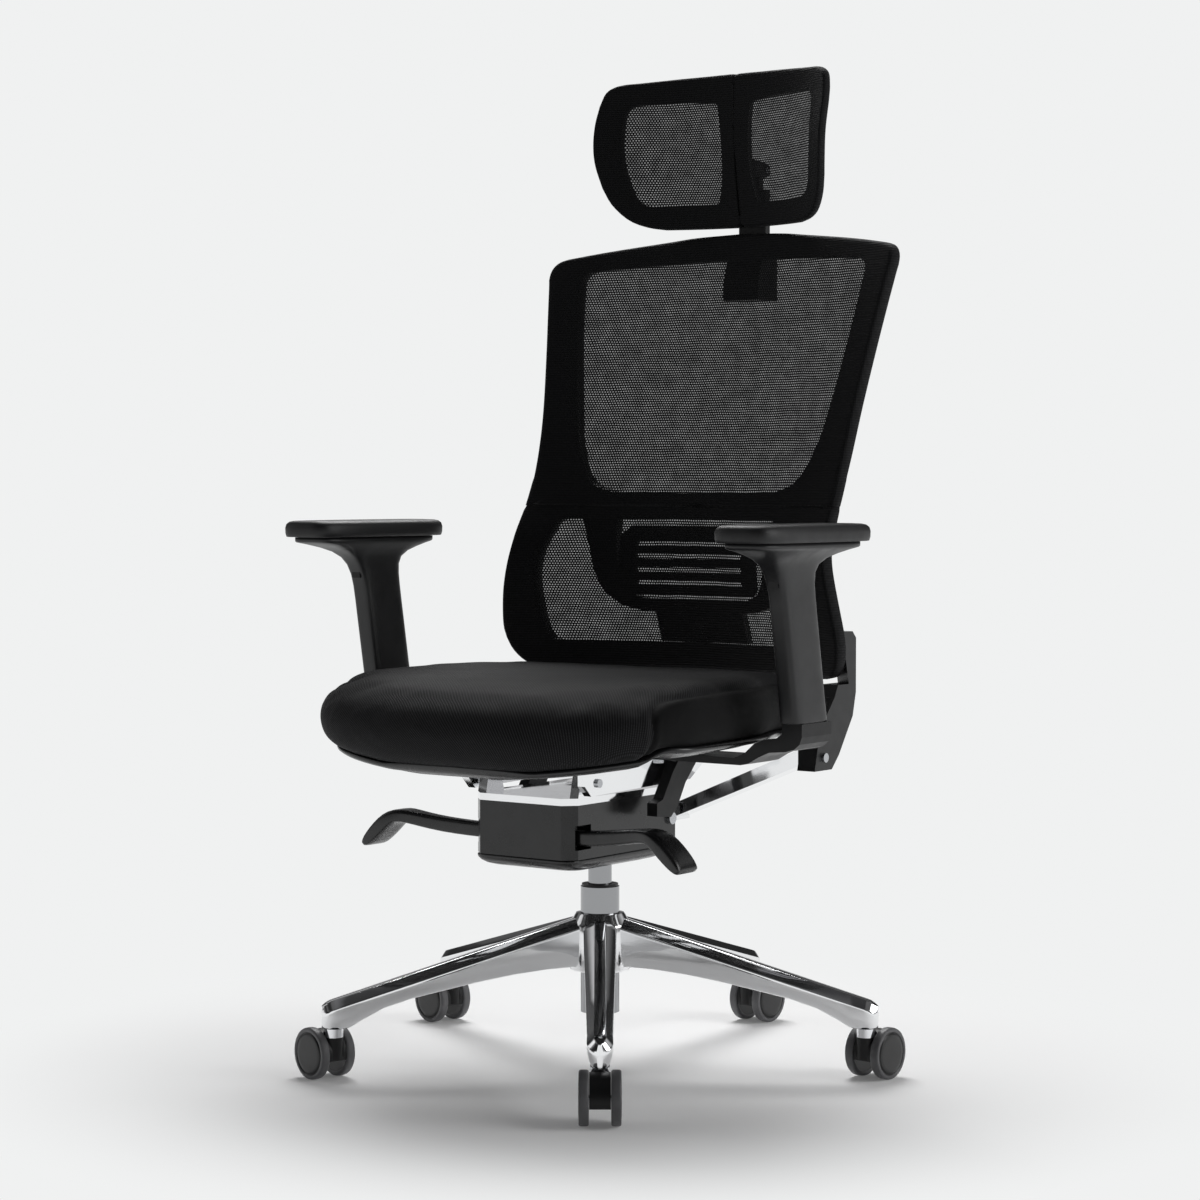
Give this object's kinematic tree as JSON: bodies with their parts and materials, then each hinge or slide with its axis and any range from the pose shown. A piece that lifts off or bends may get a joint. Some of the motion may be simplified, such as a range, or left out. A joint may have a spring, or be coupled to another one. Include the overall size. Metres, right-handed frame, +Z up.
{
  "type": "swivel office chair",
  "caption": "High-back mesh office chair with headrest, upholstered seat, height-adjustable arms, tilt mechanism, gas lift and a polished five-leg caster base.",
  "frame": {"origin": "on the floor under the column axis", "axes": "+Z up along the column, the sitter faces -Y, +X is the sitter's left"},
  "size_m": [0.7091, 0.6851, 1.197],
  "materials": {
    "polished_aluminium": "mirror polished",
    "chrome": "mirror chrome",
    "steel": "brushed",
    "black_plastic": "fine matte grain",
    "grey_plastic": "satin",
    "soft_pad": "soft matte skin",
    "mesh_fabric": "open knit",
    "seat_fabric": "fine twill",
    "caster_wheel": "satin polyurethane"
  },
  "bodies": {
    "base": {"base_star": "polished_aluminium", "column_tube": "chrome", "column_bush": "black_plastic", "caster_sockets": "black_plastic", "lift_bearing": "steel"},
    "lift_rod": {"piston_rod": "steel"},
    "lift": {"gas_cylinder": "chrome", "mech_housing": "black_plastic", "mech_cover": "black_plastic", "mech_plate": "polished_aluminium", "pivot_shafts": "steel", "tilt_spring": "steel"},
    "valve": {"valve_pin": "steel"},
    "height_lever": {"height_lever": "black_plastic"},
    "tilt_lever": {"tilt_lever": "black_plastic"},
    "back": {"back_yoke": "polished_aluminium", "back_brackets": "grey_plastic", "back_screws": "steel", "back_frame": "black_plastic", "back_mesh": "mesh_fabric", "lumbar_cradle": "black_plastic", "headrest_bracket": "black_plastic"},
    "lumbar": {"lumbar_pad": "black_plastic"},
    "headrest_stem": {"headrest_stem": "black_plastic", "headrest_pin": "steel"},
    "headrest": {"headrest_frame": "black_plastic", "headrest_mesh": "mesh_fabric"},
    "seat": {"seat_plate": "polished_aluminium", "seat_links": "black_plastic", "seat_pan": "black_plastic", "seat_cushion": "seat_fabric", "seat_screws": "steel", "arm_bracket_l": "black_plastic", "arm_bracket_r": "black_plastic"},
    "arm_l": {"arm_sleeve_l": "grey_plastic", "arm_pad_l": "soft_pad"},
    "arm_r": {"arm_sleeve_r": "grey_plastic", "arm_pad_r": "soft_pad"},
    "arm_button_l": {"arm_button_l": "black_plastic"},
    "arm_button_r": {"arm_button_r": "black_plastic"},
    "caster_1": {"caster_1_fork": "black_plastic", "caster_1_stem": "chrome"},
    "caster_1_wheel_l": {"caster_1_wheel_l": "caster_wheel"},
    "caster_1_wheel_r": {"caster_1_wheel_r": "caster_wheel"},
    "caster_2": {"caster_2_fork": "black_plastic", "caster_2_stem": "chrome"},
    "caster_2_wheel_l": {"caster_2_wheel_l": "caster_wheel"},
    "caster_2_wheel_r": {"caster_2_wheel_r": "caster_wheel"},
    "caster_3": {"caster_3_fork": "black_plastic", "caster_3_stem": "chrome"},
    "caster_3_wheel_l": {"caster_3_wheel_l": "caster_wheel"},
    "caster_3_wheel_r": {"caster_3_wheel_r": "caster_wheel"},
    "caster_4": {"caster_4_fork": "black_plastic", "caster_4_stem": "chrome"},
    "caster_4_wheel_l": {"caster_4_wheel_l": "caster_wheel"},
    "caster_4_wheel_r": {"caster_4_wheel_r": "caster_wheel"},
    "caster_5": {"caster_5_fork": "black_plastic", "caster_5_stem": "chrome"},
    "caster_5_wheel_l": {"caster_5_wheel_l": "caster_wheel"},
    "caster_5_wheel_r": {"caster_5_wheel_r": "caster_wheel"}
  },
  "joints": [
    {"name": "base_swivel", "type": "hinge", "parent": "base", "child": "lift_rod", "pos_m": [0, 0, 0.1], "axis": [0, 0, 1], "continuous": true},
    {"name": "seat_height", "type": "slide", "parent": "lift_rod", "child": "lift", "axis": [0, 0, 1], "range_m": [-0.015, 0.085]},
    {"name": "height_lever", "type": "hinge", "parent": "lift", "child": "height_lever", "pos_m": [-0.058, -0.13, 0.285], "axis": [0, 1, 0], "range_deg": [0, 4], "stiffness_Nm_per_rad": 2, "springref_deg": -3.44},
    {"name": "valve_press", "type": "slide", "parent": "lift", "child": "valve", "axis": [0, 0, -1], "range_m": [0, 0.0042]},
    {"name": "tilt_lever", "type": "hinge", "parent": "lift", "child": "tilt_lever", "pos_m": [0.058, -0.13, 0.285], "axis": [0, 1, 0], "range_deg": [0, 8]},
    {"name": "back_recline", "type": "hinge", "parent": "lift", "child": "back", "pos_m": [0, 0.042, 0.292], "axis": [-1, 0, 0], "range_deg": [0, 22], "stiffness_Nm_per_rad": 90, "springref_deg": -20.05},
    {"name": "seat_tilt", "type": "hinge", "parent": "lift", "child": "seat", "pos_m": [0, -0.125, 0.348], "axis": [-1, 0, 0], "range_deg": [0, 9]},
    {"name": "lumbar_height", "type": "slide", "parent": "back", "child": "lumbar", "axis": [0, 0, 1], "range_m": [-0.012, 0.006]},
    {"name": "headrest_height", "type": "slide", "parent": "back", "child": "headrest_stem", "axis": [0, 0, 1], "range_m": [0, 0.06]},
    {"name": "headrest_tilt", "type": "hinge", "parent": "headrest_stem", "child": "headrest", "pos_m": [0, 0.332, 1.08], "axis": [1, 0, 0], "range_deg": [-25, 8]},
    {"name": "arm_height_l", "type": "slide", "parent": "seat", "child": "arm_l", "axis": [0, -0.1736, 0.9848], "range_m": [0, 0.07]},
    {"name": "arm_height_r", "type": "slide", "parent": "seat", "child": "arm_r", "axis": [0, -0.1736, 0.9848], "range_m": [0, 0.07]},
    {"name": "arm_button_l", "type": "slide", "parent": "arm_l", "child": "arm_button_l", "axis": [0, 1, 0], "range_m": [0, 0.003], "stiffness_N_per_m": 300, "springref_m": -0.002},
    {"name": "arm_button_r", "type": "slide", "parent": "arm_r", "child": "arm_button_r", "axis": [0, 1, 0], "range_m": [0, 0.003], "stiffness_N_per_m": 300, "springref_m": -0.002},
    {"name": "caster_1_swivel", "type": "hinge", "parent": "base", "child": "caster_1", "pos_m": [0.18927, -0.2605, 0.07], "axis": [0, 0, 1], "continuous": true},
    {"name": "caster_1_roll_l", "type": "hinge", "parent": "caster_1", "child": "caster_1_wheel_l", "pos_m": [0.20044, -0.27587, 0.03], "axis": [0.8089, 0.5879, 0], "continuous": true},
    {"name": "caster_1_roll_r", "type": "hinge", "parent": "caster_1", "child": "caster_1_wheel_r", "pos_m": [0.20044, -0.27587, 0.03], "axis": [0.8089, 0.5879, 0], "continuous": true},
    {"name": "caster_2_swivel", "type": "hinge", "parent": "base", "child": "caster_2", "pos_m": [-0.18927, -0.2605, 0.07], "axis": [0, 0, 1], "continuous": true},
    {"name": "caster_2_roll_l", "type": "hinge", "parent": "caster_2", "child": "caster_2_wheel_l", "pos_m": [-0.20768, -0.25582, 0.03], "axis": [-0.2465, -0.9691, 0], "continuous": true},
    {"name": "caster_2_roll_r", "type": "hinge", "parent": "caster_2", "child": "caster_2_wheel_r", "pos_m": [-0.20768, -0.25582, 0.03], "axis": [-0.2465, -0.9691, 0], "continuous": true},
    {"name": "caster_3_swivel", "type": "hinge", "parent": "base", "child": "caster_3", "pos_m": [0.30624, 0.0995, 0.07], "axis": [0, 0, 1], "continuous": true},
    {"name": "caster_3_roll_l", "type": "hinge", "parent": "caster_3", "child": "caster_3_wheel_l", "pos_m": [0.30748, 0.11846, 0.03], "axis": [-0.9979, 0.065, 0], "continuous": true},
    {"name": "caster_3_roll_r", "type": "hinge", "parent": "caster_3", "child": "caster_3_wheel_r", "pos_m": [0.30748, 0.11846, 0.03], "axis": [-0.9979, 0.065, 0], "continuous": true},
    {"name": "caster_4_swivel", "type": "hinge", "parent": "base", "child": "caster_4", "pos_m": [-0.30624, 0.0995, 0.07], "axis": [0, 0, 1], "continuous": true},
    {"name": "caster_4_roll_l", "type": "hinge", "parent": "caster_4", "child": "caster_4_wheel_l", "pos_m": [-0.32465, 0.10419, 0.03], "axis": [-0.2465, -0.9691, 0], "continuous": true},
    {"name": "caster_4_roll_r", "type": "hinge", "parent": "caster_4", "child": "caster_4_wheel_r", "pos_m": [-0.32465, 0.10419, 0.03], "axis": [-0.2465, -0.9691, 0], "continuous": true},
    {"name": "caster_5_swivel", "type": "hinge", "parent": "base", "child": "caster_5", "pos_m": [0, 0.322, 0.07], "axis": [0, 0, 1], "continuous": true},
    {"name": "caster_5_roll_l", "type": "hinge", "parent": "caster_5", "child": "caster_5_wheel_l", "pos_m": [0.00123, 0.34096, 0.03], "axis": [-0.9979, 0.065, 0], "continuous": true},
    {"name": "caster_5_roll_r", "type": "hinge", "parent": "caster_5", "child": "caster_5_wheel_r", "pos_m": [0.00123, 0.34096, 0.03], "axis": [-0.9979, 0.065, 0], "continuous": true}
  ],
  "couplings": [
    {"joint": "valve_press", "follows": "height_lever", "m_per_rad": 0.058},
    {"joint": "seat_tilt", "follows": "back_recline", "ratio": 0.4}
  ]
}
